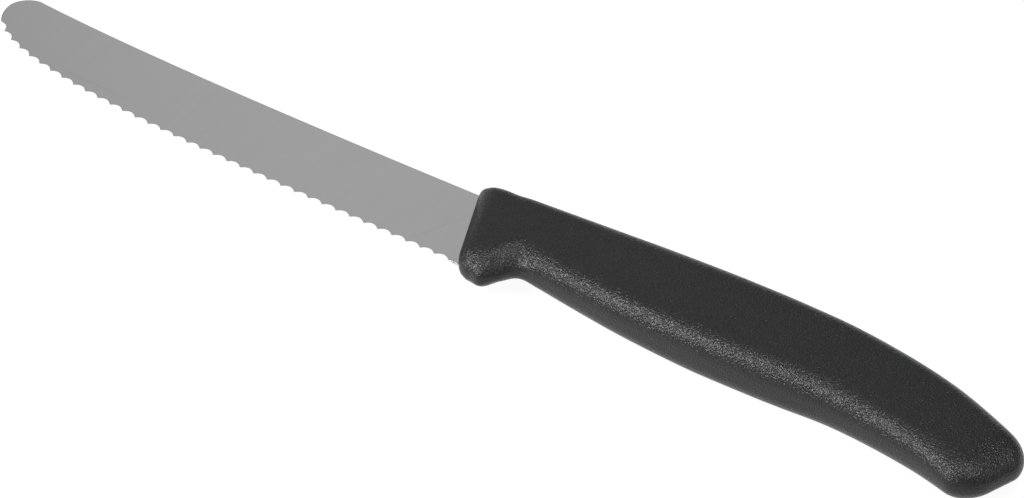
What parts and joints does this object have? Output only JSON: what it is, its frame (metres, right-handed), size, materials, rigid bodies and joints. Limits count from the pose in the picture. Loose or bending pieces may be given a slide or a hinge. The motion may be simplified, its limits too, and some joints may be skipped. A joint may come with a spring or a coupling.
{
  "type": "table knife",
  "caption": "Table knife with a long round-nosed serrated steel blade, its tang moulded into a curved black plastic handle with a finger guard.",
  "frame": {"origin": "under the middle of the knife's bounding box, at the level of the flat on the handle's right cheek, which it lies on", "axes": "+X runs from the nose of the blade to the butt of the handle, +Y from the cutting edge to the spine, +Z out of the blade's plain left face"},
  "size_m": [0.2178, 0.0248, 0.01],
  "materials": {
    "steel": "fine satin grind across the blade",
    "plastic": "black moulded polypropylene with a fine spark-eroded grain"
  },
  "bodies": {
    "root": {"blade": "steel", "handle": "plastic"}
  },
  "joints": []
}
